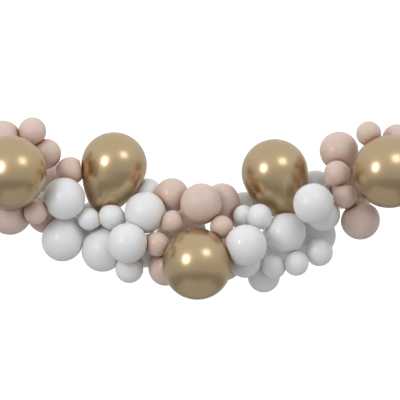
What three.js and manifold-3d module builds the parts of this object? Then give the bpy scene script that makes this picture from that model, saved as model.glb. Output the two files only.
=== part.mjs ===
// A balloon garland: latex balloons on a clear perforated tape that hangs in a shallow swag between two hooks.
// Millimetres, +X to the right, +Z up, and the front of the garland faces -Y.
// The origin is on the back face of the tape's left tab, where the garland is hung.
import * as THREE from "three";
import { mergeVertices } from "three/addons/utils/BufferGeometryUtils.js";
import Module from "manifold-3d";

// Tape
const SPAN = 2200; // from one hanging spot to the other
const SAG = 417; // how far the middle of the tape hangs below them
const TAPE_WIDTH = 15;
const TAPE_THICKNESS = 0.8;
const TAB = 12; // tape past the hanging spot
const HOOK_INSET = 16; // from the hanging spot to the middle of the hook hole
const HOOK_HOLE = 9;
const HOLE = 7; // holes that hold the knots
const HOLE_PITCH = 55;
const BARE_END = 70; // tape without knot holes at each end
const TAPE_STEPS = 22;
const TAPE_SAMPLES = 1200;
const HOLE_STEPS = 3;

// Balloons, as shares of a balloon's radius where they are its form
const PEAR = 1.65; // longest distance from the widest ring to the neck
const GLUED_PEAR = 1.2; // the same on a balloon that is glued on
const PEAR_POWER = 0.85; // how pointed the pear is: more is slimmer toward the neck
const TIE_REACH = 2; // a balloon is tied where a free hole is this near to its centre
const NECK = { gold: 5, medium: 4, small: 3 }; // neck radius
const GLUED_STEM = 3; // length of a stem that is tied to nothing, in neck radii
const KNOT = 1.5; // knot radius, in neck radii
const THROUGH = 2.9; // neck radius where it is pulled thin through a hole
const THROUGH_KNOT = 5;
const BEND = 8; // distance in front of the tape where a neck turns into its hole
const MEDIUM_WIDTH = 118; // latex balloons wider than this have a medium neck
const SIDES = { gold: 14, medium: 9, small: 7 };
const FACET_SWELL = { gold: 1.012, medium: 1.025, small: 1.03 }; // lifts the corners, so facets average the film
const CROWN_RINGS = { gold: 4, medium: 3, small: 3 };
const PEAR_RINGS = { gold: 3, medium: 2, small: 2 };
const STEM_SIDES = 4;

// Fits
const GAP = 0.3; // between pieces that touch
const STEM_ROOM = 2 * GAP; // round a neck that runs past another balloon
const TOUCH_SLACK = GAP / 10; // how far over a flat a contact may lie
const CLEAR = 14; // from the tape's middle to the nearest film
const PRESS = 0.06; // how far two balloons press into each other, as a share of both radii
const SIDE_PRESS = 0.02; // the same where a balloon only leans against another
const NEAR = 1.5; // how far apart, in both radii, two balloons may be and still shape each other
const FIRM = 0.85; // share of a dent that the softer balloon takes where a gold one meets it
const FLATTEST = 0.75; // nearest that a softer balloon's centre comes to a gold one's film, as a share of its radius
const REACH_STEPS = 24;
const ROUNDING = 70; // how tight the rim of a pressed patch is: more is sharper

const FINISHES = {
  gold: { color: 0xa98f5c, roughness: 0.2, metalness: 1 },
  blush: { color: 0xd8c2b6, roughness: 0.45, metalness: 0 },
  white: { color: 0xe9e9ec, roughness: 0.45, metalness: 0 },
  tape: { color: 0xe8edf0, roughness: 0.3, metalness: 0 },
};

// Each balloon in the order it is laid on: name, film, width, distance to the right of the tape's lowest point,
// height over the tape there, and the side it is laid on from. Where they are set, tail is the way that a loose
// neck hangs, and out is the least distance from the tape's plane.
const LAYOUT = [
  ["gold_left_top", "gold", 264, -345, 239, "front"],
  ["gold_right_top", "gold", 267, 300, 220, "front"],
  ["blush_left_back", "blush", 172, -615, -40, "back"],
  ["white_left_back", "white", 184, -415, -12, "back"],
  ["white_left_back_upper", "white", 114, -211, 155, "back"],
  ["blush_middle_back", "blush", 198, -74, 10, "back"],
  ["white_right_back", "white", 178, 458, -74, "back"],
  ["white_right_back_middle", "white", 170, 318, -84, "back"],
  ["blush_right_back", "blush", 190, 620, 60, "back"],
  ["blush_left_back_upper", "blush", 140, -583, 96, "back"],
  ["white_right_upper", "white", 142, 466, 114, "back"],
  ["white_right_behind", "white", 134, 494, -2, "front"],
  ["blush_left_top_large", "blush", 156, -792, 165, "front"],
  ["blush_left_low_large", "blush", 180, -762, -110, "front"],
  ["blush_left_small_2", "blush", 121, -617, 194, "front"],
  ["blush_left_small_3", "blush", 115, -521, 162, "front"],
  ["blush_left_small_1", "blush", 112, -672, 260, "front"],
  ["blush_left_small_4", "blush", 95, -658, -58, "front"],
  ["white_left_low_1", "white", 170, -391, -116, "front"],
  ["white_left_low_back", "white", 128, -216, -84, "front"],
  ["white_left_1", "white", 170, -544, 43, "front"],
  ["white_left_2", "white", 169, -552, -127, "front"],
  ["white_left_small_1", "white", 90, -445, -4, "front"],
  ["white_left_small_2", "white", 103, -355, 31, "front"],
  ["white_left_small_3", "white", 113, -283, -164, "front"],
  ["blush_middle_low_left", "blush", 138, -138, -141, "front"],
  ["blush_middle_low_right", "blush", 148, 96, -113, "front"],
  ["blush_middle_left", "blush", 136, -113, 156, "front"],
  ["white_left_3", "white", 166, -220, 73, "front"],
  ["blush_middle_small_1", "blush", 98, -170, -47, "front", { out: 130 }],
  ["white_left_4", "white", 161, -290, -61, "front"],
  ["blush_middle_right", "blush", 142, 88, 134, "front"],
  ["white_right_upper_back", "white", 148, 178, 88, "back"],
  ["blush_middle_top", "blush", 166, 4, 124, "front"],
  ["blush_middle_small_2", "blush", 91, -109, 50, "front", { tail: "left" }],
  ["blush_middle_small_3", "blush", 93, 90, 25, "front", { out: 150 }],
  ["gold_middle", "gold", 276, -11, -120, "front"],
  ["white_right_low_1", "white", 130, 256, -189, "front"],
  ["white_right_low_2", "white", 128, 180, -119, "front"],
  ["white_right_small_1", "white", 86, 175, 67, "front", { out: 60 }],
  ["white_right_small_2", "white", 102, 231, 60, "front", { tail: "right", out: 70 }],
  ["white_right_1", "white", 162, 341, -34, "front"],
  ["white_right_2", "white", 166, 183, -52, "front"],
  ["white_right_small_3", "white", 97, 296, -157, "front", { out: 65 }],
  ["white_right_3", "white", 162, 452, 55, "front"],
  ["white_right_small_5", "white", 110, 478, -149, "front"],
  ["white_right_small_4", "white", 100, 387, -171, "front"],
  ["blush_right_top", "blush", 157, 558, 229, "front"],
  ["blush_right_small_1", "blush", 105, 547, 146, "front", { tail: "left" }],
  ["blush_right_low", "blush", 158, 642, -82, "front"],
  ["blush_right_small_2", "blush", 97, 580, 37, "front"],
  ["blush_far_left_upper", "blush", 150, -925, 76, "front"],
  ["blush_far_left_lower", "blush", 160, -915, -84, "front"],
  ["blush_far_right_upper", "blush", 156, 922, 72, "front"],
  ["blush_far_right_lower", "blush", 150, 918, -88, "front"],
  ["gold_left_end", "gold", 294, -758, 52, "front"],
  ["gold_right_end", "gold", 293, 756, 56, "front"],
  ["blush_right_top_small", "blush", 122, 790, 168, "behind"],
  ["blush_right_small_3", "blush", 101, 675, 248, "behind"],
];

const wasm = await Module();
wasm.setup();

// Solids

function closed(geometry) {
  const bare = geometry.clone();
  bare.deleteAttribute("normal");
  bare.deleteAttribute("uv");
  return mergeVertices(bare, 1e-3);
}

function solid(geometry) {
  const merged = closed(geometry);
  return new wasm.Manifold(
    new wasm.Mesh({
      numProp: 3,
      vertProperties: new Float32Array(merged.attributes.position.array),
      triVerts: new Uint32Array(merged.index.array),
    }),
  );
}

function geometryOf(made) {
  const mesh = made.getMesh();
  const geometry = new THREE.BufferGeometry();
  geometry.setAttribute("position", new THREE.BufferAttribute(mesh.vertProperties, mesh.numProp));
  geometry.setIndex(new THREE.BufferAttribute(mesh.triVerts, 1));
  return geometry;
}

function piece(name, geometry, finish) {
  const mesh = new THREE.Mesh(geometry, new THREE.MeshStandardMaterial(finish));
  mesh.name = name;
  return mesh;
}

// Tape

function tapeHeight(x) {
  const share = (2 * x - SPAN) / SPAN;
  return SAG * (share * share - 1);
}

function tapeSlope(x) {
  return Math.atan((4 * SAG * (2 * x - SPAN)) / (SPAN * SPAN));
}

// Points along the tape's middle line, with the length of tape up to each.
function tapeLine() {
  const line = [];
  let length = 0;
  for (let i = 0; i <= TAPE_SAMPLES; i++) {
    const x = (SPAN * i) / TAPE_SAMPLES;
    const point = new THREE.Vector3(x, -TAPE_THICKNESS / 2, tapeHeight(x));
    if (i > 0) length += point.distanceTo(line[i - 1].point);
    line.push({ point, length });
  }
  return line;
}

const LINE = tapeLine();
const TAPE_LENGTH = LINE[LINE.length - 1].length;

function tapeAt(length) {
  return LINE.find((sample) => sample.length >= length).point;
}

function nearestOnTape(point) {
  let best = LINE[0].point;
  for (const sample of LINE) {
    if (sample.point.distanceToSquared(point) < best.distanceToSquared(point)) best = sample.point;
  }
  return best;
}

// Knot holes, evenly spaced out from the tape's lowest point.
function knotHoles() {
  const room = TAPE_LENGTH - 2 * BARE_END;
  const count = Math.floor(room / HOLE_PITCH) + 1;
  const first = (TAPE_LENGTH - (count - 1) * HOLE_PITCH) / 2;
  return Array.from({ length: count }, (_, i) => tapeAt(first + i * HOLE_PITCH));
}

function bandPoint(x, along, across) {
  const slope = tapeSlope(x);
  return new THREE.Vector2(
    x + along * Math.cos(slope) - across * Math.sin(slope),
    tapeHeight(x) + along * Math.sin(slope) + across * Math.cos(slope),
  );
}

function roundHole(x, z, width) {
  const hole = new THREE.Path();
  hole.absarc(x, z, width / 2, 0, 2 * Math.PI, true);
  return hole;
}

function tape(holes) {
  const half = TAPE_WIDTH / 2;
  const edge = (across) => [
    bandPoint(0, -TAB, across),
    ...Array.from({ length: TAPE_STEPS + 1 }, (_, i) => bandPoint((SPAN * i) / TAPE_STEPS, 0, across)),
    bandPoint(SPAN, TAB, across),
  ];
  const band = new THREE.Shape([...edge(-half), ...edge(half).reverse()]);
  holes.forEach((hole) => band.holes.push(roundHole(hole.x, hole.z, HOLE)));
  [bandPoint(0, HOOK_INSET, 0), bandPoint(SPAN, -HOOK_INSET, 0)].forEach((hook) =>
    band.holes.push(roundHole(hook.x, hook.y, HOOK_HOLE)),
  );
  const cut = { depth: TAPE_THICKNESS, bevelEnabled: false, curveSegments: HOLE_STEPS };
  return new THREE.ExtrudeGeometry(band, cut).rotateX(Math.PI / 2);
}

// Places

function kindOf(film, width) {
  if (film === "gold") return "gold";
  return width > MEDIUM_WIDTH ? "medium" : "small";
}

// How far a balloon stands off from another round thing once it lies on it, or 0 where it passes beside it.
function standOff(reach, beside) {
  return beside < reach ? Math.sqrt(reach * reach - beside * beside) : 0;
}

// How far out each thing holds a balloon: the balloons that are laid already, and the tape.
function restsFor(laid, centre, radius, away) {
  const rests = [{ at: 0, lift: standOff(radius + CLEAR, nearestOnTape(centre).distanceTo(centre)) }];
  for (const other of laid) {
    const beside = Math.hypot(centre.x - other.centre.x, centre.z - other.centre.z);
    const reach = (radius + other.radius) * (1 - PRESS);
    rests.push({ at: away * other.centre.y, lift: standOff(reach, beside) });
  }
  return rests.filter(({ lift }) => lift > 0).map(({ at, lift }) => at + lift);
}

// Lays each balloon on from its side until it rests on the tape or on a balloon that is already there. One that
// is laid from the front or the back stays on that side, and one that goes in behind rests on the back of those
// in front.
function lay(layout) {
  const laid = [];
  for (const [name, film, width, across, lift, side, { tail, out = 0 } = {}] of layout) {
    const away = side === "front" ? -1 : 1;
    const radius = width / 2;
    const x = SPAN / 2 + across;
    const centre = new THREE.Vector3(x, -TAPE_THICKNESS / 2, tapeHeight(x) + lift);
    const rests = restsFor(laid, centre, radius, away);
    if (side !== "behind" || rests.length === 0) rests.push(out);
    centre.y += away * Math.max(...rests);
    laid.push({ name, film, radius, centre, tail, kind: kindOf(film, width) });
  }
  return laid;
}

// Ties every balloon that reaches the tape to the nearest free hole, largest first.
function tie(balloons, holes) {
  const free = new Set(holes);
  for (const balloon of [...balloons].sort((a, b) => b.radius - a.radius)) {
    const [nearest] = [...free].sort((a, b) => a.distanceTo(balloon.centre) - b.distanceTo(balloon.centre));
    if (nearest === undefined || nearest.distanceTo(balloon.centre) > TIE_REACH * balloon.radius) continue;
    free.delete(nearest);
    balloon.hole = nearest;
  }
}

function between(a, b) {
  return a.centre.distanceTo(b.centre) - (a.radius + b.radius) * (1 - SIDE_PRESS);
}

// Draws each balloon that touches nothing tied, straight or through others, against the nearest one that does.
function gather(balloons) {
  const held = balloons.filter((balloon) => balloon.hole);
  const loose = new Set(balloons.filter((balloon) => !balloon.hole));
  while (loose.size > 0) {
    let best = { gap: Infinity };
    for (const balloon of loose) {
      for (const other of held) {
        const gap = between(balloon, other);
        if (gap < best.gap) best = { balloon, other, gap };
      }
    }
    const toward = best.other.centre.clone().sub(best.balloon.centre).normalize();
    if (best.gap > 0) best.balloon.centre.addScaledVector(toward, best.gap);
    loose.delete(best.balloon);
    held.push(best.balloon);
  }
}

// A glued balloon's neck points in to the tape, or down to one side, or along the tape where that is too near.
function gluedAxis({ centre, radius, kind, tail }) {
  if (tail) return new THREE.Vector3(tail === "left" ? -1 : 1, 0, -1).normalize();
  const inward = nearestOnTape(centre).clone().sub(centre);
  if (inward.length() > GLUED_PEAR * radius + GLUED_STEM * NECK[kind] + CLEAR) return inward.normalize();
  const slope = tapeSlope(centre.x);
  const toMiddle = centre.x < SPAN / 2 ? 1 : -1;
  return new THREE.Vector3(toMiddle * Math.cos(slope), 0, toMiddle * Math.sin(slope));
}

// Where a balloon's neck ends, and how long its pear is.
function aim(balloon) {
  const { centre, radius, hole, kind } = balloon;
  const neck = NECK[kind];
  if (hole) {
    balloon.away = centre.y < 0 ? -1 : 1;
    balloon.end = hole.clone().add(new THREE.Vector3(0, balloon.away * BEND, 0));
    const reach = balloon.end.distanceTo(centre);
    balloon.pear = Math.min(PEAR * radius, reach - neck);
  } else {
    balloon.pear = GLUED_PEAR * radius;
    balloon.end = centre.clone().addScaledVector(gluedAxis(balloon), balloon.pear + GLUED_STEM * neck);
  }
  balloon.axis = balloon.end.clone().sub(centre).normalize();
}

// Balloons

// Turns a shape that stands on the Y axis so that it runs from one point along a direction.
function stand(geometry, from, direction) {
  const turn = new THREE.Quaternion().setFromUnitVectors(new THREE.Vector3(0, 1, 0), direction);
  return geometry.applyQuaternion(turn).translate(from.x, from.y, from.z);
}

function pearRadius(radius, share) {
  return radius * Math.pow(1 - share * share, PEAR_POWER);
}

function pearProfile({ radius: trueRadius, pear, kind }) {
  const radius = trueRadius * FACET_SWELL[kind];
  const crown = CROWN_RINGS[kind];
  const rings = PEAR_RINGS[kind];
  const points = [new THREE.Vector2(0, -radius)];
  for (let i = 1; i <= crown; i++) {
    const turn = (Math.PI / 2) * (i / crown);
    points.push(new THREE.Vector2(radius * Math.sin(turn), -radius * Math.cos(turn)));
  }
  for (let i = 1; i < rings; i++) {
    const share = i / rings;
    points.push(new THREE.Vector2(pearRadius(radius, share), share * pear));
  }
  points.push(new THREE.Vector2(0, pear));
  return points;
}

// How far a gold balloon's film is from its centre in a direction.
function filmReach({ radius, pear, axis }, direction) {
  const along = direction.dot(axis);
  if (along <= 0) return radius;
  const beside = Math.sqrt(1 - along * along);
  const shares = Array.from({ length: REACH_STEPS + 1 }, (_, i) => i / REACH_STEPS);
  const share = shares.find((at) => pearRadius(radius, at) * along <= at * pear * beside) ?? 1;
  return Math.hypot(pearRadius(radius, share), share * pear);
}

// Distance from a gold balloon to its flat against a softer one, which gives way and leaves the pear its room.
function firmFlat(gold, softer, toward, apart) {
  const dent = Math.max(0, filmReach(gold, toward) + softer.radius - apart);
  return Math.min(apart - softer.radius + FIRM * dent, apart - FLATTEST * softer.radius);
}

// Distance from a balloon to its flat against another.
function flatBetween(balloon, other, toward, apart) {
  const firm = balloon.film === "gold";
  const otherFirm = other.film === "gold";
  if (firm && !otherFirm) return firmFlat(balloon, other, toward, apart);
  if (otherFirm && !firm) return apart - firmFlat(other, balloon, toward.clone().negate(), apart);
  return apart / 2 + (balloon.radius * balloon.radius - other.radius * other.radius) / (2 * apart);
}

// The flats that hold a balloon's film off its neighbours and the tape, each as a direction and a distance.
function flatsAround(balloon, balloons) {
  const flats = [];
  for (const other of balloons) {
    if (other === balloon) continue;
    const toward = other.centre.clone().sub(balloon.centre);
    const apart = toward.length();
    if (apart > NEAR * (balloon.radius + other.radius)) continue;
    toward.divideScalar(apart);
    flats.push({ direction: toward, distance: flatBetween(balloon, other, toward, apart) - GAP / 2 });
  }
  const toTape = nearestOnTape(balloon.centre).clone().sub(balloon.centre);
  const apart = toTape.length();
  flats.push({ direction: toTape.divideScalar(apart), distance: apart - CLEAR });
  return flats;
}

// Draws the film in toward the balloon's centre until it clears every flat, with a rounded rim.
function press(geometry, centre, flats) {
  const position = geometry.attributes.position;
  const point = new THREE.Vector3();
  for (let i = 0; i < position.count; i++) {
    point.fromBufferAttribute(position, i).sub(centre);
    const reach = point.length();
    const ray = point.clone().divideScalar(reach);
    let sum = 1;
    for (const { direction, distance } of flats) {
      const facing = ray.dot(direction);
      if (facing > 0) sum += Math.pow((reach * facing) / distance, ROUNDING);
    }
    point.copy(ray).multiplyScalar(reach * Math.pow(sum, -1 / ROUNDING)).add(centre);
    position.setXYZ(i, point.x, point.y, point.z);
  }
  return geometry;
}

// The spot on a flat, from the balloon's centre, that is nearest to its middle and clear of the other flats.
function clearSpot(flat, flats) {
  const spot = flat.direction.clone().multiplyScalar(flat.distance);
  const others = flats.filter((other) => other !== flat);
  for (const other of [...others, ...others]) {
    const over = spot.dot(other.direction) - other.distance;
    if (over <= 0) continue;
    const facing = flat.direction.dot(other.direction);
    const downhill = other.direction.clone().addScaledVector(flat.direction, -facing);
    spot.addScaledVector(downhill, -over / downhill.lengthSq());
  }
  return spot;
}

// Puts a corner of the film on each flat that it is pressed against, so that the facets really touch.
function touch(geometry, { centre, radius }, flats) {
  const position = geometry.attributes.position;
  const used = new Set();
  const point = new THREE.Vector3();
  for (const flat of flats) {
    const spot = clearSpot(flat, flats);
    const clear = flats.every((other) => spot.dot(other.direction) <= other.distance + TOUCH_SLACK);
    if (spot.length() > radius || !clear) continue;
    const ray = spot.clone().normalize();
    let nearest = 0;
    let best = -1;
    for (let i = 0; i < position.count; i++) {
      const facing = point.fromBufferAttribute(position, i).sub(centre).normalize().dot(ray);
      if (facing > best && !used.has(i)) [nearest, best] = [i, facing];
    }
    used.add(nearest);
    point.copy(centre).add(spot);
    position.setXYZ(nearest, point.x, point.y, point.z);
  }
  return geometry;
}

function blownFilm(balloon, balloons) {
  const body = closed(new THREE.LatheGeometry(pearProfile(balloon), SIDES[balloon.kind]));
  const flats = flatsAround(balloon, balloons);
  stand(body, balloon.centre, balloon.axis);
  return solid(touch(press(body, balloon.centre, flats), balloon, flats));
}

// The neck from inside the film to its end, fattened by a clearance where it is to be cut out of a neighbour.
function neckSolid(balloon, clearance) {
  const radius = NECK[balloon.kind] + clearance;
  const start = balloon.centre.clone().addScaledVector(balloon.axis, balloon.radius / 2);
  const length = balloon.end.distanceTo(start);
  const straight = [new THREE.Vector2(0, 0), new THREE.Vector2(radius, 0)];
  if (balloon.hole) {
    straight.push(new THREE.Vector2(radius, length), new THREE.Vector2(0, length + radius));
  } else {
    const knot = NECK[balloon.kind] * KNOT;
    straight.push(
      new THREE.Vector2(radius, length - 2 * knot),
      new THREE.Vector2(knot + clearance, length - knot),
      new THREE.Vector2(0, length + clearance),
    );
  }
  return solid(stand(new THREE.LatheGeometry(straight, STEM_SIDES), start, balloon.axis));
}

// The thin end of a neck pulled through its hole, with the knot on the far side of the tape.
function throughSolid(balloon) {
  const inward = new THREE.Vector3(0, -balloon.away, 0);
  const seat = BEND + TAPE_THICKNESS / 2 + GAP;
  const profile = [
    new THREE.Vector2(0, 0),
    new THREE.Vector2(THROUGH, 0),
    new THREE.Vector2(THROUGH, seat),
    new THREE.Vector2(THROUGH_KNOT, seat),
    new THREE.Vector2(0, seat + THROUGH_KNOT),
  ];
  return solid(stand(new THREE.LatheGeometry(profile, STEM_SIDES), balloon.end, inward));
}

function balloonSolid(balloon, balloons) {
  let made = blownFilm(balloon, balloons);
  for (const other of balloons) {
    if (other === balloon) continue;
    const near = other.end.distanceTo(balloon.centre) < NEAR * balloon.radius + other.radius;
    if (near) made = made.subtract(other.stemRoom);
  }
  made = made.add(balloon.stem);
  return balloon.hole ? made.add(throughSolid(balloon)) : made;
}

function garland() {
  const group = new THREE.Group();
  const holes = knotHoles();
  const balloons = lay(LAYOUT);
  tie(balloons, holes);
  gather(balloons);
  balloons.forEach(aim);
  balloons.forEach((balloon) => {
    balloon.stem = neckSolid(balloon, 0);
    balloon.stemRoom = neckSolid(balloon, STEM_ROOM);
  });
  for (const balloon of balloons) {
    group.add(piece(balloon.name, geometryOf(balloonSolid(balloon, balloons)), FINISHES[balloon.film]));
  }
  group.add(piece("balloon_tape", tape(holes), FINISHES.tape));
  return group;
}

export default garland();
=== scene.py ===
# A balloon garland of white, blush and chrome gold latex balloons on a clear perforated tape.
# Metres, +X to the right, +Z up, and the front of the garland faces -Y.
import math

import bpy
import numpy as np
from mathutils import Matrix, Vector


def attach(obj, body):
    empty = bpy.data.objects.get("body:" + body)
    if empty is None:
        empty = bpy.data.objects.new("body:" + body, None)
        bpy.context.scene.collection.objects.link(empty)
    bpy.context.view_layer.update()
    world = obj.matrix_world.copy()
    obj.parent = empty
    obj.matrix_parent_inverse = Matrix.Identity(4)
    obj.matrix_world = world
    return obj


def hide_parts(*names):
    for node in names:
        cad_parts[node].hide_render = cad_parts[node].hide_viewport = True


bl_info = {
    "name": "Balloon Garland",
    "version": (1, 0, 0),
    "blender": (4, 5, 0),
    "location": "View3D > Sidebar > Garland",
    "description": "Latex balloons in three films on a perforated tape, with a plain studio",
    "category": "Add Mesh",
}

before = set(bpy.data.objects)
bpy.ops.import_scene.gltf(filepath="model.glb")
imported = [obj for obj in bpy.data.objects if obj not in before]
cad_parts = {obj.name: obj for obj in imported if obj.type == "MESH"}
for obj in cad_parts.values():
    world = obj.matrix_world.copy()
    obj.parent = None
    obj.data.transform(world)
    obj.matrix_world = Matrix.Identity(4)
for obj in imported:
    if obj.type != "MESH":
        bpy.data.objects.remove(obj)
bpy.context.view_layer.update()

# The tape, as the solids have it
SPAN = 2.2  # from one hanging spot to the other
SAG = 0.417  # how far the middle of the tape hangs below them
TAPE_WIDTH = 0.015
TAPE_THICKNESS = 0.0008
TAPE_MIDDLE = -TAPE_THICKNESS / 2
TAB = 0.012  # tape past each hanging spot
KNOT_HOLE = 0.007
HOLE_PITCH = 0.055
BARE_END = 0.07  # tape without knot holes at each end
HOOK_INSET = 0.016  # from a hanging spot to the middle of its hook hole
HOOK_HOLE = 0.009
LINE_SAMPLES = 2400

# The balloons, as the solids have them
SWELL = {"gold": 1.012, "medium": 1.025, "small": 1.03}  # radius of the solid's crown, in film radii
NECK = {"gold": 0.005, "medium": 0.004, "small": 0.003}  # neck radius
SMALL_CROWN = 0.06  # crown radius under which a latex balloon counts as small
PEAR = 1.65  # longest distance from the widest ring to the neck, in film radii
GLUED_PEAR = 1.2  # the same on a balloon that is glued on
PEAR_POWER = 0.85  # how pointed the pear is: more is slimmer toward the neck
NEAR = 1.5  # how far apart two balloons still shape each other, in sums of their radii
FIRM = 0.85  # share of a dent that the softer balloon takes where a gold one meets it
FLATTEST = 0.75  # nearest that a softer balloon's centre comes to a gold one's film, in its own radii
REACH_STEPS = 24  # along a gold balloon's pear, to find its film in a direction
BEND = 0.008  # distance in front of the tape where a neck turns into its hole
GAP = 0.0003  # between films that touch
CLEAR = 0.014  # from the tape's middle to the nearest film

# Finding a balloon's round crown and its knot among the corners of its solid
CORNER_DIGITS = 6
FIT_SEED = 3
FIT_TRIES = 12000
FIT_TOLERANCE = 3e-5
FIT_RANGE = (0.03, 0.2)  # crown radii that a balloon can have
FIT_LEAST = 1e-7  # determinant under which four corners lie in one plane
KNOT_ENDS = {-1: 0.0053, 1: -0.0061}  # depth of the tip of a knot, by the side that its balloon is on
KNOT_DEPTH_SLACK = 2e-5
KNOT_LINE_SLACK = 5e-4

# The films in the scene
SIDES_AND_RINGS = {"gold": (144, 120), "medium": (88, 72), "small": (64, 56)}
WELD = 1e-6
EASE_END = 0.4  # share of the pear over which its curve leaves the crown's
NECK_BLEND = 3  # how tight the fillet between pear and neck is
PAINTED_SHADE_REACH = 0.012  # how far from a neighbour the painted crevice shade reaches
CROWN_SPOT = 0.05  # width of the thick spot on the crown, in film radii
CROWN_THICK = 0.35
NECK_SHADE = 0.35  # share of the widest radius under which the film grows thick toward the neck
NECK_SHADE_POWER = 1.5
FREE_FROM = 0.8  # share of the pear where pressing starts to fade out toward the neck
FREE_OVER = 0.18  # share of the pear over which it fades
FREE_CONE = 0.8  # how squarely a point must face the neck to be left alone

# Neck ends: distance and radius of each ring
LOOSE_END = (  # back from the tip, in neck radii
    (2.2, 1.0),
    (1.7, 0.8),
    (1.4, 1.15),
    (1.0, 1.4),
    (0.65, 1.15),
    (0.45, 0.6),
    (0.3, 0.9),
    (0.0, 1.3),
)
TIED_END = (  # past the tape's middle, in metres
    (0.0002, 0.0026),
    (0.0009, 0.0029),
    (0.0013, 0.0042),
    (0.0023, 0.005),
    (0.0034, 0.0046),
    (0.0041, 0.003),
    (0.0046, 0.0022),
    (0.0052, 0.0034),
    (0.0056, 0.0044),
)
TURN_START = 1.4  # where a neck starts to turn into its hole, in bends before the turn
TURN_FINISH = 0.55  # where it has turned, in bends past it
TURN_SHARES = np.linspace(0.15, 1, 8)
THROUGH = 0.0027  # neck radius where it is pulled thin through a hole
LIP_CLOSE = 0.1  # how far past its last ring an end closes, in the distance between its last two

# The tape in the scene
TAPE_STEPS = 160
KNOT_HOLE_SIDES = 20
HOOK_HOLE_SIDES = 24
CUTTER_LENGTH = 0.01
TAPE_COLOUR = (0.86, 0.89, 0.9, 1)
TAPE_ALPHA = 0.35
TAPE_ROUGHNESS = 0.12
HAZE = 0.2  # how much the haze adds to the roughness
HAZE_SCALE = 60.0

# The studio
MIDDLE = Vector((1.1, -0.1, -0.277))  # the middle of the picture, on the garland
KEY_WAY = Vector((-0.59, -0.76, 0.27))
KEY_SIZE = (0.75, 1.3)
FILL_WAY = Vector((0.47, -0.63, 0.61))
FILL_SIZE = (1.5, 1.3)
LIGHT_DISTANCE = 4.0
GROUND_HEIGHTS = (-0.5, -0.25)  # where the room's light turns from below to around, with 1 straight up
SKY_HEIGHTS = (-0.1, 0.7)  # where it turns from around to above
BACKDROP = 1.2  # brightness of the white that the camera sees
FLOOR = -2.4
FLOOR_HALF = 1.6
FLOOR_TONES = ((0.54, 0.54, 0.54, 1), (0.6, 0.6, 0.6, 1))
FLOOR_ROUGHNESS = 0.8
STAIN_SCALE = 1.2
SENSOR_WIDTH = 36
FAR_CLIP = 100


# Reading the garland


def places_of(mesh):
    places = np.empty(len(mesh.vertices) * 3)
    mesh.vertices.foreach_get("co", places)
    return places.reshape(-1, 3)


def corners(node):
    return np.unique(places_of(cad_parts[node].data).round(CORNER_DIGITS), axis=0)


def sphere_equations(points):
    """Rows and right sides of the equations for the sphere through some points."""
    rows = np.concatenate([2 * points, np.ones(points.shape[:-1] + (1,))], axis=-1)
    return rows, (points**2).sum(axis=-1)


def centre_and_radius(answers):
    centres = answers[..., :3]
    return centres, np.sqrt(np.maximum(answers[..., 3] + (centres**2).sum(axis=-1), 0))


def spheres_through(fours):
    """Centre and radius of the sphere through each set of four points."""
    rows, squares = sphere_equations(fours)
    sound = np.abs(np.linalg.det(rows)) > FIT_LEAST
    return centre_and_radius(np.linalg.solve(rows[sound], squares[sound][..., None])[..., 0])


def sphere_along(points):
    """Centre and radius of the sphere that many points lie along."""
    rows, squares = sphere_equations(points)
    return centre_and_radius(np.linalg.lstsq(rows, squares, rcond=None)[0])


def crown_of(points):
    """The sphere that holds the most corners, because a crown is round wherever nothing presses on it."""
    middle = points.mean(axis=0)
    local = points - middle
    random = np.random.default_rng(FIT_SEED)
    centres, radii = spheres_through(local[random.integers(0, len(local), (FIT_TRIES, 4))])
    miss = np.abs(np.linalg.norm(local[None] - centres[:, None], axis=2) - radii[:, None])
    hits = (miss < FIT_TOLERANCE).sum(axis=1)
    hits[(radii < FIT_RANGE[0]) | (radii > FIT_RANGE[1])] = 0
    centre, radius = sphere_along(local[miss[hits.argmax()] < FIT_TOLERANCE])
    return centre + middle, radius


def tape_height(x):
    return SAG * (((2 * x - SPAN) / SPAN) ** 2 - 1)


def tape_line():
    x = np.linspace(0, SPAN, LINE_SAMPLES)
    return np.stack([x, np.full_like(x, TAPE_MIDDLE), tape_height(x)], axis=1)


LINE = tape_line()


def nearest_on_tape(point):
    return LINE[np.linalg.norm(LINE - point, axis=1).argmin()]


def knot_tip(points, away):
    """Where the knot of a tied balloon ends behind the tape, or None for one that is glued on."""
    deep = np.abs(points[:, 1] - KNOT_ENDS[away]) < KNOT_DEPTH_SLACK
    on_line = np.abs(points[:, 2] - tape_height(points[:, 0])) < KNOT_LINE_SLACK
    found = points[deep & on_line]
    return found[0] if len(found) else None


class Balloon:
    """One balloon's film, centre, radius and neck, read from its solid."""

    def __init__(self, node):
        points = corners(node)
        self.name = node
        self.film = node.split("_")[0]
        self.centre, crown = crown_of(points)
        self.kind = "small" if crown < SMALL_CROWN else "medium"
        if self.film == "gold":
            self.kind = "gold"
        self.radius = crown / SWELL[self.kind]
        self.neck = NECK[self.kind]
        self.away = -1 if self.centre[1] < 0 else 1
        tip = knot_tip(points, self.away)
        self.tied = tip is not None
        if self.tied:
            self.hole = np.array([tip[0], TAPE_MIDDLE, tip[2]])
            self.end = self.hole + (0, self.away * BEND, 0)
            self.pear = min(PEAR * self.radius, np.linalg.norm(self.end - self.centre) - self.neck)
        else:
            self.end = points[np.linalg.norm(points - self.centre, axis=1).argmax()]
            self.pear = GLUED_PEAR * self.radius
        reach = self.end - self.centre
        self.reach = np.linalg.norm(reach)
        self.axis = reach / self.reach


def read_garland():
    names = [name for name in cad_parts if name.split("_")[0] in ("gold", "blush", "white")]
    return [Balloon(name) for name in sorted(names)]


GARLAND = read_garland()


# Shared tools


def socket(tree, name, kind, way="INPUT", default=None):
    made = tree.interface.new_socket(name=name, in_out=way, socket_type=kind)
    if default is not None:
        made.default_value = default
    return made


def add(tree, kind, **choices):
    node = tree.nodes.new(kind)
    for key, value in choices.items():
        setattr(node, key, value)
    return node


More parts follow.
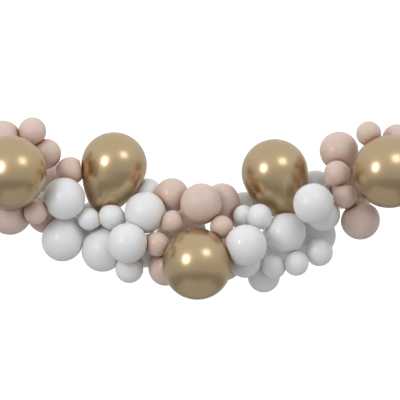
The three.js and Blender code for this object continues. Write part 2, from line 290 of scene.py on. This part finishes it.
def put(tree, target, value):
    """Links a value to an input, or sets it there."""
    if isinstance(value, bpy.types.NodeSocket):
        tree.links.new(value, target)
    else:
        target.default_value = value


def fill(tree, node, **values):
    """Sets or links a node's inputs by name, with spaces written as underscores."""
    for key, value in values.items():
        put(tree, node.inputs[key.replace("_", " ")], value)
    return node


def math_node(tree, operation, first, second, clamp=False):
    node = add(tree, "ShaderNodeMath", operation=operation, use_clamp=clamp)
    put(tree, node.inputs[0], first)
    put(tree, node.inputs[1], second)
    return node.outputs[0]


def mix_colour(tree, factor, first, second):
    node = add(tree, "ShaderNodeMix", data_type="RGBA")
    wanted = {"Factor": factor, "A": first, "B": second}
    for target in node.inputs:
        if target.enabled:
            put(tree, target, wanted[target.name])
    return next(output for output in node.outputs if output.enabled)


def plain_mesh(holder, tree, values, name):
    """Runs a Geometry Nodes tree on an object and gives back its result as a plain object."""
    modifier = holder.modifiers.new(tree.name, "NODES")
    modifier.node_group = tree
    for item in tree.interface.items_tree:
        if item.in_out == "INPUT" and item.name in values:
            modifier[item.identifier] = values[item.name]
    evaluated = holder.evaluated_get(bpy.context.evaluated_depsgraph_get())
    mesh = bpy.data.meshes.new_from_object(evaluated)
    mesh.name = name
    base = holder.data
    bpy.data.objects.remove(holder)
    bpy.data.meshes.remove(base)
    made = bpy.data.objects.new(name, mesh)
    bpy.context.scene.collection.objects.link(made)
    return made


def settings():
    return bpy.context.scene.garland


# Latex


def latex_film_group():
    """Soft clouds, fine grain, deeper colour where the film is thick, and painted shade near neighbours."""
    tree = bpy.data.node_groups.new("Latex film", "ShaderNodeTree")
    socket(tree, "Colour", "NodeSocketColor")
    socket(tree, "Thick Colour", "NodeSocketColor")
    socket(tree, "Crevice Colour", "NodeSocketColor")
    socket(tree, "Cloudiness", "NodeSocketFloat")
    socket(tree, "Cloud Scale", "NodeSocketFloat")
    socket(tree, "Gloss", "NodeSocketFloat")
    socket(tree, "Gloss Change", "NodeSocketFloat")
    socket(tree, "Grain Scale", "NodeSocketFloat")
    socket(tree, "Colour", "NodeSocketColor", way="OUTPUT")
    socket(tree, "Roughness", "NodeSocketFloat", way="OUTPUT")
    socket(tree, "Height", "NodeSocketFloat", way="OUTPUT")
    given = add(tree, "NodeGroupInput").outputs
    place = add(tree, "ShaderNodeTexCoord").outputs["Object"]
    clouds = add(tree, "ShaderNodeTexNoise")
    fill(tree, clouds, Vector=place, Scale=given["Cloud Scale"], Detail=2.0, Roughness=0.5)
    grain = add(tree, "ShaderNodeTexNoise")
    fill(tree, grain, Vector=place, Scale=given["Grain Scale"], Detail=3.0, Roughness=0.6)
    thick = add(tree, "ShaderNodeAttribute", attribute_name="thick").outputs["Fac"]
    cloud = clouds.outputs["Fac"]
    amount = math_node(tree, "MULTIPLY", cloud, given["Cloudiness"])
    both = math_node(tree, "ADD", amount, thick, clamp=True)
    film = mix_colour(tree, both, given["Colour"], given["Thick Colour"])
    # painted shade: near a neighbour the film takes a darker, richer crevice colour, standing in for light
    # that only comes through the latex
    painted_shade_mask = add(tree, "ShaderNodeAttribute", attribute_name="painted_shade_mask").outputs["Fac"]
    colour = mix_colour(tree, painted_shade_mask, film, given["Crevice Colour"])
    change = math_node(tree, "MULTIPLY", math_node(tree, "SUBTRACT", cloud, 0.5), given["Gloss Change"])
    gloss = math_node(tree, "ADD", given["Gloss"], change)
    out = add(tree, "NodeGroupOutput")
    fill(tree, out, Colour=colour, Roughness=gloss, Height=grain.outputs["Fac"])
    return tree


def film_material(name, colour, look):
    """A latex film, with its plain values on the shader's own sockets."""
    material = bpy.data.materials.new(name)
    material.use_nodes = True
    tree = material.node_tree
    group = add(tree, "ShaderNodeGroup", node_tree=bpy.data.node_groups["Latex film"])
    fill(
        tree,
        group,
        Colour=(*colour, 1),
        Thick_Colour=(*look["thick"], 1),
        Crevice_Colour=(*look["painted_crevice_shade"], 1),
        Cloudiness=look["cloudiness"],
        Cloud_Scale=look["cloud_scale"],
        Gloss=look["roughness"],
        Gloss_Change=look["roughness_change"],
        Grain_Scale=look["grain_scale"],
    )
    bump = fill(
        tree,
        add(tree, "ShaderNodeBump"),
        Strength=look["grain"],
        Distance=look["grain_depth"],
        Height=group.outputs["Height"],
    )
    shader = tree.nodes["Principled BSDF"]
    fill(
        tree,
        shader,
        Base_Color=group.outputs["Colour"],
        Roughness=group.outputs["Roughness"],
        Normal=bump.outputs["Normal"],
        Metallic=look["metallic"],
        Subsurface_Weight=look["subsurface"],
        Subsurface_Radius=look["subsurface_radius"],
        Subsurface_Scale=look["subsurface_scale"],
        Sheen_Weight=look["sheen"],
        Sheen_Roughness=look["sheen_roughness"],
        Coat_Weight=look["coat"],
        Coat_Roughness=look["coat_roughness"],
        Specular_IOR_Level=look["specular"],
    )
    return material


WHITE_LATEX = {
    "thick": (0.86, 0.84, 0.81),
    # painted shade between balloons: on white latex a warm tint for light that comes through a neighbour
    "painted_crevice_shade": (0.78, 0.755, 0.71),
    "cloudiness": 0.12,
    "cloud_scale": 16.0,
    "roughness": 0.42,
    "roughness_change": 0.06,
    "grain_scale": 1400.0,
    "grain": 0.15,
    "grain_depth": 0.0002,
    "metallic": 0.0,
    "subsurface": 0.6,
    "subsurface_radius": (0.05, 0.05, 0.05),
    "subsurface_scale": 1.0,
    "sheen": 0.05,
    "sheen_roughness": 0.4,
    "coat": 0.3,
    "coat_roughness": 0.1,
    "specular": 0.35,
}
BLUSH_LATEX = {
    **WHITE_LATEX,
    "thick": (0.62, 0.4, 0.31),
    # painted shade between balloons: dark orange-brown
    "painted_crevice_shade": (0.45, 0.18, 0.07),
    "subsurface_radius": (0.05, 0.025, 0.015),
}
CHROME_LATEX = {
    **WHITE_LATEX,
    "thick": (0.5, 0.36, 0.2),
    # painted shade between balloons: darker gold
    "painted_crevice_shade": (0.5, 0.33, 0.16),
    "cloudiness": 0.1,
    "coat": 0.0,
    "roughness": 0.28,
    "roughness_change": 0.04,
    "grain": 0.05,
    "metallic": 1.0,
    "subsurface": 0.0,
    "sheen": 0.0,
    "specular": 0.5,
}


def pear_power(share, pear, radius):
    """The pear's exponent, which starts where it carries on the crown's own curve without a break."""
    start = pear**2 / (2 * radius**2)
    ease = np.clip(share / EASE_END, 0, 1)
    ease = ease * ease * (3 - 2 * ease)
    return start + (PEAR_POWER - start) * ease


def film_outline(balloon, rings):
    """Distances along the balloon's axis from its centre, and the film's radius at each."""
    radius, pear, neck = balloon.radius, balloon.pear, balloon.neck
    turn = np.linspace(0, math.pi / 2, rings // 2)
    crown = np.stack([-radius * np.cos(turn), radius * np.sin(turn)], axis=1)
    share = np.sin(np.linspace(0, math.pi / 2, rings // 2 + 2))[1:]
    body = radius * np.power(np.maximum(1 - share**2, 0), pear_power(share, pear, radius))
    blended = (body**NECK_BLEND + neck**NECK_BLEND) ** (1 / NECK_BLEND)
    return np.concatenate([crown, np.stack([share * pear, blended], axis=1)])


def stem_route(balloon):
    """Points past the pear and the neck's radius at each: the neck, the knot and the rolled lip."""
    neck, end, axis = balloon.neck, balloon.end, balloon.axis
    if not balloon.tied:
        past_pear = [(back, width) for back, width in LOOSE_END if balloon.reach - neck * back > balloon.pear]
        return [(end - axis * neck * back, neck * width) for back, width in past_pear]
    inward = np.array([0.0, -balloon.away, 0.0])
    start = end - axis * min(TURN_START * BEND, balloon.reach - balloon.pear)
    finish = end + inward * TURN_FINISH * BEND
    route = []
    for share in TURN_SHARES:
        point = (1 - share) ** 2 * start + 2 * share * (1 - share) * end + share**2 * finish
        route.append((point, neck + (THROUGH - neck) * share))
    return route + [(balloon.hole + inward * past, radius) for past, radius in TIED_END]


def thickness(radius_share, along):
    """How thick the film is: it stays thick at the very crown and toward the neck."""
    if along < 0:
        return CROWN_THICK * math.exp(-((radius_share / CROWN_SPOT) ** 2))
    return max(0.0, 1 - radius_share / NECK_SHADE) ** NECK_SHADE_POWER


def balloon_line(balloon, rings):
    """A string of points down the middle of a balloon, with the film's radius and thickness at each."""
    outline = film_outline(balloon, rings)
    points = [balloon.centre + balloon.axis * along for along, _ in outline]
    radii = [radius for _, radius in outline]
    thick = [thickness(radius / balloon.radius, along) for along, radius in outline]
    for point, radius in stem_route(balloon):
        points.append(point)
        radii.append(radius)
        thick.append(1.0)
    points.append(points[-1] + (points[-1] - points[-2]) * LIP_CLOSE)
    radii.append(0.0)
    thick.append(1.0)
    mesh = bpy.data.meshes.new("line")
    mesh.from_pydata([tuple(point) for point in points], [(i, i + 1) for i in range(len(points) - 1)], [])
    for name, values in (("film_radius", radii), ("thick", thick)):
        mesh.attributes.new(name, "FLOAT", "POINT").data.foreach_set("value", values)
    holder = bpy.data.objects.new("line", mesh)
    bpy.context.scene.collection.objects.link(holder)
    return holder


def balloon_tree():
    """Sweeps a ring down a balloon's middle line, as wide as the film is at each point."""
    tree = bpy.data.node_groups.new("Blown film", "GeometryNodeTree")
    socket(tree, "Geometry", "NodeSocketGeometry")
    socket(tree, "Sides", "NodeSocketInt", default=64)
    socket(tree, "Weld", "NodeSocketFloat", default=WELD)
    socket(tree, "Film", "NodeSocketMaterial")
    socket(tree, "Geometry", "NodeSocketGeometry", way="OUTPUT")
    given = add(tree, "NodeGroupInput").outputs
    radius = fill(tree, add(tree, "GeometryNodeInputNamedAttribute", data_type="FLOAT"), Name="film_radius")
    line = fill(tree, add(tree, "GeometryNodeMeshToCurve"), Mesh=given["Geometry"])
    ring = fill(tree, add(tree, "GeometryNodeCurvePrimitiveCircle"), Resolution=given["Sides"], Radius=1.0)
    sweep = fill(
        tree,
        add(tree, "GeometryNodeCurveToMesh"),
        Curve=line.outputs[0],
        Profile_Curve=ring.outputs["Curve"],
        Scale=radius.outputs["Attribute"],
        Fill_Caps=False,
    )
    weld = add(tree, "GeometryNodeMergeByDistance")
    fill(tree, weld, Geometry=sweep.outputs[0], Distance=given["Weld"])
    smooth = fill(tree, add(tree, "GeometryNodeSetShadeSmooth"), Geometry=weld.outputs[0], Shade_Smooth=True)
    real = fill(tree, add(tree, "GeometryNodeRealizeInstances"), Geometry=smooth.outputs[0])
    painted = add(tree, "GeometryNodeSetMaterial")
    fill(tree, painted, Geometry=real.outputs[0], Material=given["Film"])
    fill(tree, add(tree, "NodeGroupOutput"), Geometry=painted.outputs[0])
    return tree


def film_reach(gold, direction):
    """How far a gold balloon's film is from its centre in a direction."""
    along = direction @ gold.axis
    if along <= 0:
        return gold.radius
    beside = math.sqrt(1 - along**2)
    share = np.arange(REACH_STEPS + 1) / REACH_STEPS
    rings = gold.radius * (1 - share**2) ** PEAR_POWER
    crossing = (rings * along <= share * gold.pear * beside).argmax()
    return math.hypot(rings[crossing], share[crossing] * gold.pear)


def firm_flat(gold, softer, toward, apart):
    """Distance from a gold balloon to its flat against a softer one, which takes most of the dent."""
    dent = max(0, film_reach(gold, toward) + softer.radius - apart)
    return min(apart - softer.radius + FIRM * dent, apart - FLATTEST * softer.radius)


def flat_between(balloon, other, toward, apart):
    """Distance from a balloon to its flat against another."""
    firm, other_firm = balloon.film == "gold", other.film == "gold"
    if firm and not other_firm:
        return firm_flat(balloon, other, toward, apart)
    if other_firm and not firm:
        return apart - firm_flat(other, balloon, -toward, apart)
    return apart / 2 + (balloon.radius**2 - other.radius**2) / (2 * apart)


def neighbours(balloon):
    """Each balloon that is near enough to shape this one, with the direction and the distance to it."""
    for other in GARLAND:
        toward = other.centre - balloon.centre
        apart = np.linalg.norm(toward)
        if other is not balloon and apart <= NEAR * (balloon.radius + other.radius):
            yield other, toward / apart, apart


def flats_around(balloon):
    """Direction and distance of each flat that holds a balloon's film off its neighbours and the tape."""
    flats = []
    for other, toward, apart in neighbours(balloon):
        flats.append((toward, flat_between(balloon, other, toward, apart) - GAP / 2))
    toward = nearest_on_tape(balloon.centre) - balloon.centre
    apart = np.linalg.norm(toward)
    flats.append((toward / apart, apart - CLEAR))
    return flats


def press(mesh, balloon, rounding):
    """Draws the film in toward the balloon's centre until it clears every flat, and leaves the neck alone."""
    local = places_of(mesh) - balloon.centre
    reach = np.linalg.norm(local, axis=1)
    rays = local / reach[:, None]
    total = np.ones(len(local))
    for direction, distance in flats_around(balloon):
        facing = np.maximum(rays @ direction, 0)
        total += (reach * facing / distance) ** rounding
    pressed = total ** (-1 / rounding)
    fade = np.clip((reach / balloon.pear - FREE_FROM) / FREE_OVER, 0, 1) * (rays @ balloon.axis > FREE_CONE)
    keep = 1 + (pressed - 1) * (1 - fade)
    mesh.vertices.foreach_set("co", (local * keep[:, None] + balloon.centre).ravel())
    mesh.update()


def paint_crevice_shade(mesh, balloon):
    """Marks how close each point of the film is to a neighbour, for the painted shade between balloons."""
    places = places_of(mesh)
    painted_shade_mask = np.zeros(len(places))
    for other, _, _ in neighbours(balloon):
        # the mask for the painted crevice shade fades with the gap to each neighbour
        gap = np.maximum(np.linalg.norm(places - other.centre, axis=1) - other.radius, 0)
        painted_shade_mask = np.maximum(painted_shade_mask, np.exp(-gap / PAINTED_SHADE_REACH))
    mesh.attributes.new("painted_shade_mask", "FLOAT", "POINT").data.foreach_set("value", painted_shade_mask)


def blow_up(balloon, material):
    sides, rings = SIDES_AND_RINGS[balloon.kind]
    holder = balloon_line(balloon, rings)
    values = {"Sides": sides, "Film": material}
    made = plain_mesh(holder, bpy.data.node_groups["Blown film"], values, "film_" + balloon.name)
    press(made.data, balloon, settings().balloons.rounding)
    paint_crevice_shade(made.data, balloon)
    made.data.attributes.remove(made.data.attributes["film_radius"])
    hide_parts(balloon.name)
    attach(made, "root")
    return made


def blow_up_all(film, material):
    if "Blown film" not in bpy.data.node_groups:
        balloon_tree()
    for balloon in GARLAND:
        if balloon.film == film:
            blow_up(balloon, material)


def shared_latex():
    if "Latex film" not in bpy.data.node_groups:
        latex_film_group()


# Tape


def tape_curve(tree, span, sag, over):
    """The tape's hanging curve, which runs past both hanging spots by a share of the span."""
    past = math_node(tree, "MULTIPLY", over, math_node(tree, "ADD", over, 1.0))
    rise = math_node(tree, "MULTIPLY", past, 4.0)
    drop = math_node(tree, "MULTIPLY", math_node(tree, "ADD", past, 0.5), -4.0)
    left = math_node(tree, "MULTIPLY", over, -1.0)
    right = math_node(tree, "ADD", over, 1.0)
    handles = []
    for across, up in ((left, rise), (0.5, drop), (right, rise)):
        x = math_node(tree, "MULTIPLY", span, across)
        z = math_node(tree, "MULTIPLY", sag, up)
        handle = fill(tree, add(tree, "ShaderNodeCombineXYZ"), X=x, Y=TAPE_MIDDLE, Z=z)
        handles.append(handle.outputs[0])
    curve = add(tree, "GeometryNodeCurveQuadraticBezier")
    fill(tree, curve, Resolution=TAPE_STEPS, Start=handles[0], Middle=handles[1], End=handles[2])
    return curve.outputs[0]


def hole_cutters(tree, curve, first, last, count, width, sides):
    """Round cutters, spread evenly along the tape between two lengths."""
    part = fill(tree, add(tree, "GeometryNodeTrimCurve", mode="LENGTH"), Curve=curve)
    start, end = [item for item in part.inputs if item.name in ("Start", "End") and item.enabled]
    put(tree, start, first)
    put(tree, end, last)
    spots = fill(tree, add(tree, "GeometryNodeResampleCurve"), Curve=part.outputs[0], Count=count)
    radius = math_node(tree, "MULTIPLY", width, 0.5)
    cutter = add(tree, "GeometryNodeMeshCylinder")
    fill(tree, cutter, Vertices=sides, Radius=radius, Depth=CUTTER_LENGTH)
    placed = fill(
        tree,
        add(tree, "GeometryNodeInstanceOnPoints"),
        Points=spots.outputs[0],
        Instance=cutter.outputs["Mesh"],
        Rotation=(math.pi / 2, 0, 0),
    )
    return fill(tree, add(tree, "GeometryNodeRealizeInstances"), Geometry=placed.outputs[0]).outputs[0]


def tape_tree():
    """A flat strip along the tape's curve, with knot holes along it and a hook hole near each end."""
    tree = bpy.data.node_groups.new("Balloon tape", "GeometryNodeTree")
    socket(tree, "Geometry", "NodeSocketGeometry")
    socket(tree, "Span", "NodeSocketFloat", default=SPAN)
    socket(tree, "Sag", "NodeSocketFloat", default=SAG)
    socket(tree, "Width", "NodeSocketFloat", default=TAPE_WIDTH)
    socket(tree, "Thickness", "NodeSocketFloat", default=TAPE_THICKNESS)
    socket(tree, "Hole", "NodeSocketFloat", default=KNOT_HOLE)
    socket(tree, "Hole Count", "NodeSocketInt")
    socket(tree, "First Hole", "NodeSocketFloat")
    socket(tree, "Last Hole", "NodeSocketFloat")
    socket(tree, "Hook Hole", "NodeSocketFloat", default=HOOK_HOLE)
    socket(tree, "First Hook", "NodeSocketFloat")
    socket(tree, "Last Hook", "NodeSocketFloat")
    socket(tree, "Overhang", "NodeSocketFloat")
    socket(tree, "Film", "NodeSocketMaterial")
    socket(tree, "Geometry", "NodeSocketGeometry", way="OUTPUT")
    given = add(tree, "NodeGroupInput").outputs
    curve = tape_curve(tree, given["Span"], given["Sag"], given["Overhang"])
    flat = add(tree, "GeometryNodeCurvePrimitiveQuadrilateral")
    fill(tree, flat, Width=given["Thickness"], Height=given["Width"])
    upright = fill(tree, add(tree, "GeometryNodeSetCurveNormal", mode="MINIMUM_TWIST"), Curve=curve)
    strip = add(tree, "GeometryNodeCurveToMesh")
    fill(tree, strip, Curve=upright.outputs[0], Profile_Curve=flat.outputs[0], Fill_Caps=True)
    cut = add(tree, "GeometryNodeMeshBoolean", operation="DIFFERENCE")
    put(tree, cut.inputs["Mesh 1"], strip.outputs[0])
    for first, last, count, width, sides in (
        (given["First Hole"], given["Last Hole"], given["Hole Count"], given["Hole"], KNOT_HOLE_SIDES),
        (given["First Hook"], given["Last Hook"], 2, given["Hook Hole"], HOOK_HOLE_SIDES),
    ):
        put(tree, cut.inputs["Mesh 2"], hole_cutters(tree, curve, first, last, count, width, sides))
    real = fill(tree, add(tree, "GeometryNodeRealizeInstances"), Geometry=cut.outputs[0])
    painted = add(tree, "GeometryNodeSetMaterial")
    fill(tree, painted, Geometry=real.outputs[0], Material=given["Film"])
    fill(tree, add(tree, "NodeGroupOutput"), Geometry=painted.outputs[0])
    return tree


def clear_plastic():
    material = bpy.data.materials.new("Clear tape")
    material.use_nodes = True
    tree = material.node_tree
    place = add(tree, "ShaderNodeTexCoord").outputs["Object"]
    haze = fill(tree, add(tree, "ShaderNodeTexNoise"), Vector=place, Scale=HAZE_SCALE, Detail=3.0)
    rough = math_node(tree, "ADD", math_node(tree, "MULTIPLY", haze.outputs["Fac"], HAZE), TAPE_ROUGHNESS)
    fill(tree, tree.nodes["Principled BSDF"], Base_Color=TAPE_COLOUR, Roughness=rough, Alpha=TAPE_ALPHA)
    return material


# Panel settings


class BalloonSettings(bpy.types.PropertyGroup):
    rounding: bpy.props.FloatProperty(
        name="Rim tightness",
        description="How tight the rim of a pressed patch is",
        default=48.0,
        min=8.0,
        max=80.0,
    )


class FilmSettings(bpy.types.PropertyGroup):
    white: bpy.props.FloatVectorProperty(
        name="White",
        description="White latex",
        subtype="COLOR",
        size=3,
        default=(0.765, 0.775, 0.79),
    )
    blush: bpy.props.FloatVectorProperty(
        name="Blush",
        description="Blush latex",
        subtype="COLOR",
        size=3,
        default=(0.675, 0.55, 0.49),
    )
    gold: bpy.props.FloatVectorProperty(
        name="Chrome gold",
        description="Chrome gold latex",
        subtype="COLOR",
        size=3,
        default=(0.545, 0.415, 0.25),
    )


class TapeSettings(bpy.types.PropertyGroup):
    width: bpy.props.FloatProperty(
        name="Tape width",
        description="Width of the strip",
        default=TAPE_WIDTH,
        unit="LENGTH",
        min=0.008,
        max=0.03,
    )
    hole: bpy.props.FloatProperty(
        name="Knot hole",
        description="Width of a knot hole",
        default=KNOT_HOLE,
        unit="LENGTH",
        min=0.003,
        max=0.01,
    )


class StageSettings(bpy.types.PropertyGroup):
    lens: bpy.props.FloatProperty(
        name="Lens",
        description="Focal length",
        default=675.0,
        unit="CAMERA",
        min=50.0,
        max=1500.0,
    )
    distance: bpy.props.FloatProperty(
        name="Camera distance",
        description="From the garland",
        default=30.0,
        unit="LENGTH",
        min=3.0,
        max=40.0,
    )
    key: bpy.props.FloatProperty(
        name="Key light",
        description="Softbox on the left",
        default=42.0,
        unit="POWER",
        min=0.0,
        max=2000.0,
    )
    fill: bpy.props.FloatProperty(
        name="Fill light",
        description="Softbox on the right",
        default=15.0,
        unit="POWER",
        min=0.0,
        max=2000.0,
    )
    above: bpy.props.FloatProperty(
        name="Light from above",
        description="Strength of the sky",
        default=0.86,
        min=0.0,
        max=5.0,
    )
    around: bpy.props.FloatProperty(
        name="Light from around",
        description="Strength of the walls",
        default=0.62,
        min=0.0,
        max=5.0,
    )
    below: bpy.props.FloatProperty(
        name="Light from below",
        description="Strength of the ground",
        default=0.34,
        min=0.0,
        max=5.0,
    )


class GarlandSettings(bpy.types.PropertyGroup):
    balloons: bpy.props.PointerProperty(type=BalloonSettings)
    films: bpy.props.PointerProperty(type=FilmSettings)
    tape: bpy.props.PointerProperty(type=TapeSettings)
    stage: bpy.props.PointerProperty(type=StageSettings)


# Pieces


class GARLAND_OT_white(bpy.types.Operator):
    """Blow up the white latex balloons"""

    bl_idname = "garland.white_balloons"
    bl_label = "White balloons"

    def execute(self, context):
        shared_latex()
        colour = settings().films.white
        material = film_material("White latex", colour, WHITE_LATEX)
        blow_up_all("white", material)
        return {"FINISHED"}


class GARLAND_OT_blush(bpy.types.Operator):
    """Blow up the blush latex balloons"""

    bl_idname = "garland.blush_balloons"
    bl_label = "Blush balloons"

    def execute(self, context):
        shared_latex()
        colour = settings().films.blush
        material = film_material("Blush latex", colour, BLUSH_LATEX)
        blow_up_all("blush", material)
        return {"FINISHED"}


class GARLAND_OT_gold(bpy.types.Operator):
    """Blow up the chrome gold latex balloons"""

    bl_idname = "garland.gold_balloons"
    bl_label = "Chrome gold balloons"

    def execute(self, context):
        shared_latex()
        colour = settings().films.gold
        material = film_material("Chrome gold latex", colour, CHROME_LATEX)
        blow_up_all("gold", material)
        return {"FINISHED"}


class GARLAND_OT_tape(bpy.types.Operator):
    """Cut the perforated tape that the balloons are tied to"""

    bl_idname = "garland.balloon_tape"
    bl_label = "Balloon tape"

    def execute(self, context):
        steps = np.linalg.norm(np.diff(LINE, axis=0), axis=1)
        length = steps.sum()
        count = int((length - 2 * BARE_END) // HOLE_PITCH) + 1
        first = (length - (count - 1) * HOLE_PITCH) / 2
        end_slope = math.atan(4 * SAG / SPAN)
        values = {
            "Width": settings().tape.width,
            "Hole": settings().tape.hole,
            "Hole Count": count,
            "First Hole": TAB + first,
            "Last Hole": TAB + length - first,
            "First Hook": TAB + HOOK_INSET,
            "Last Hook": TAB + length - HOOK_INSET,
            "Overhang": TAB * math.cos(end_slope) / SPAN,
            "Film": clear_plastic(),
        }
        holder = bpy.data.objects.new("strip", bpy.data.meshes.new("strip"))
        context.scene.collection.objects.link(holder)
        made = plain_mesh(holder, tape_tree(), values, "perforated_tape")
        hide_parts("balloon_tape")
        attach(made, "root")
        return {"FINISHED"}


# Studio


def softbox(name, way, size, power):
    light = bpy.data.lights.new(name, "AREA")
    light.shape = "RECTANGLE"
    light.size, light.size_y = size
    light.energy = power
    made = bpy.data.objects.new(name, light)
    made.location = MIDDLE + way.normalized() * LIGHT_DISTANCE
    made.rotation_euler = (-way).to_track_quat("-Z", "Y").to_euler()
    bpy.context.scene.collection.objects.link(made)


def shade_of_room(tree, up, heights, low, high):
    """How strong the room's light is as it turns from low to high between two heights."""
    slope = add(tree, "ShaderNodeMapRange", interpolation_type="SMOOTHSTEP")
    fill(tree, slope, Value=up, From_Min=heights[0], From_Max=heights[1], To_Min=low, To_Max=high)
    return slope.outputs[0]


def surroundings(above, around, below):
    """White behind the garland, and a soft room round it that is lighter above than below."""
    world = bpy.data.worlds.new("Studio")
    bpy.context.scene.world = world
    world.use_nodes = True
    tree = world.node_tree
    tree.nodes.clear()
    way = add(tree, "ShaderNodeTexCoord").outputs["Generated"]
    up = fill(tree, add(tree, "ShaderNodeSeparateXYZ"), Vector=way).outputs["Z"]
    ground = shade_of_room(tree, up, GROUND_HEIGHTS, below, around)
    sky = shade_of_room(tree, up, SKY_HEIGHTS, 0, above - around)
    light = math_node(tree, "ADD", ground, sky)
    room = fill(tree, add(tree, "ShaderNodeBackground"), Color=(1, 1, 1, 1), Strength=light)
    white = fill(tree, add(tree, "ShaderNodeBackground"), Color=(1, 1, 1, 1), Strength=BACKDROP)
    seen = add(tree, "ShaderNodeLightPath").outputs["Is Camera Ray"]
    mix = add(tree, "ShaderNodeMixShader")
    for target, source in zip(mix.inputs, (seen, room.outputs[0], white.outputs[0])):
        put(tree, target, source)
    fill(tree, add(tree, "ShaderNodeOutputWorld"), Surface=mix.outputs[0])


def floor_paint():
    material = bpy.data.materials.new("Pale floor")
    material.use_nodes = True
    tree = material.node_tree
    place = add(tree, "ShaderNodeTexCoord").outputs["Object"]
    stain = fill(tree, add(tree, "ShaderNodeTexNoise"), Vector=place, Scale=STAIN_SCALE, Detail=2.0)
    colour = mix_colour(tree, stain.outputs["Fac"], *FLOOR_TONES)
    fill(tree, tree.nodes["Principled BSDF"], Base_Color=colour, Roughness=FLOOR_ROUGHNESS)
    return material


def pale_floor():
    left, right = MIDDLE.x - FLOOR_HALF, MIDDLE.x + FLOOR_HALF
    front, back = MIDDLE.y - FLOOR_HALF, MIDDLE.y + FLOOR_HALF
    mesh = bpy.data.meshes.new("floor")
    mesh.from_pydata(
        [(left, front, FLOOR), (right, front, FLOOR), (right, back, FLOOR), (left, back, FLOOR)],
        [],
        [(0, 1, 2, 3)],
    )
    mesh.materials.append(floor_paint())
    floor = bpy.data.objects.new("floor", mesh)
    bpy.context.scene.collection.objects.link(floor)


def main_camera(lens, distance):
    camera = bpy.data.cameras.new("camera")
    camera.lens = lens
    camera.sensor_width = SENSOR_WIDTH
    camera.clip_end = FAR_CLIP
    made = bpy.data.objects.new("camera", camera)
    made.location = MIDDLE + Vector((0, -distance, 0))
    made.rotation_euler = (math.pi / 2, 0, 0)
    bpy.context.scene.collection.objects.link(made)
    bpy.context.scene.camera = made


class GARLAND_OT_stage(bpy.types.Operator):
    """Set up the camera, the softboxes, the surroundings and the floor"""

    bl_idname = "garland.stage"
    bl_label = "Stage"

    def execute(self, context):
        stage = settings().stage
        context.scene.view_settings.view_transform = "Standard"
        main_camera(stage.lens, stage.distance)
        softbox("key", KEY_WAY, KEY_SIZE, stage.key)
        softbox("fill", FILL_WAY, FILL_SIZE, stage.fill)
        surroundings(stage.above, stage.around, stage.below)
        pale_floor()
        return {"FINISHED"}


class GARLAND_PT_panel(bpy.types.Panel):
    bl_idname = "GARLAND_PT_panel"
    bl_label = "Balloon garland"
    bl_space_type = "VIEW_3D"
    bl_region_type = "UI"
    bl_category = "Garland"

    def draw(self, context):
        garland = context.scene.garland
        for group in (garland.balloons, garland.films, garland.tape, garland.stage):
            box = self.layout.box()
            for name in group.bl_rna.properties.keys():
                if name not in ("rna_type", "name"):
                    box.prop(group, name)
        for operator in OPERATORS:
            self.layout.operator(operator.bl_idname)


SETTINGS = (BalloonSettings, FilmSettings, TapeSettings, StageSettings, GarlandSettings)
OPERATORS = (GARLAND_OT_stage, GARLAND_OT_gold, GARLAND_OT_blush, GARLAND_OT_white, GARLAND_OT_tape)


def register():
    for item in SETTINGS + OPERATORS + (GARLAND_PT_panel,):
        bpy.utils.register_class(item)
    bpy.types.Scene.garland = bpy.props.PointerProperty(type=GarlandSettings)


def unregister():
    del bpy.types.Scene.garland
    for item in reversed(SETTINGS + OPERATORS + (GARLAND_PT_panel,)):
        bpy.utils.unregister_class(item)


def main():
    register()
    bpy.ops.garland.stage()
    bpy.ops.garland.gold_balloons()
    bpy.ops.garland.blush_balloons()
    bpy.ops.garland.white_balloons()
    bpy.ops.garland.balloon_tape()


if __name__ == "__main__":
    main()
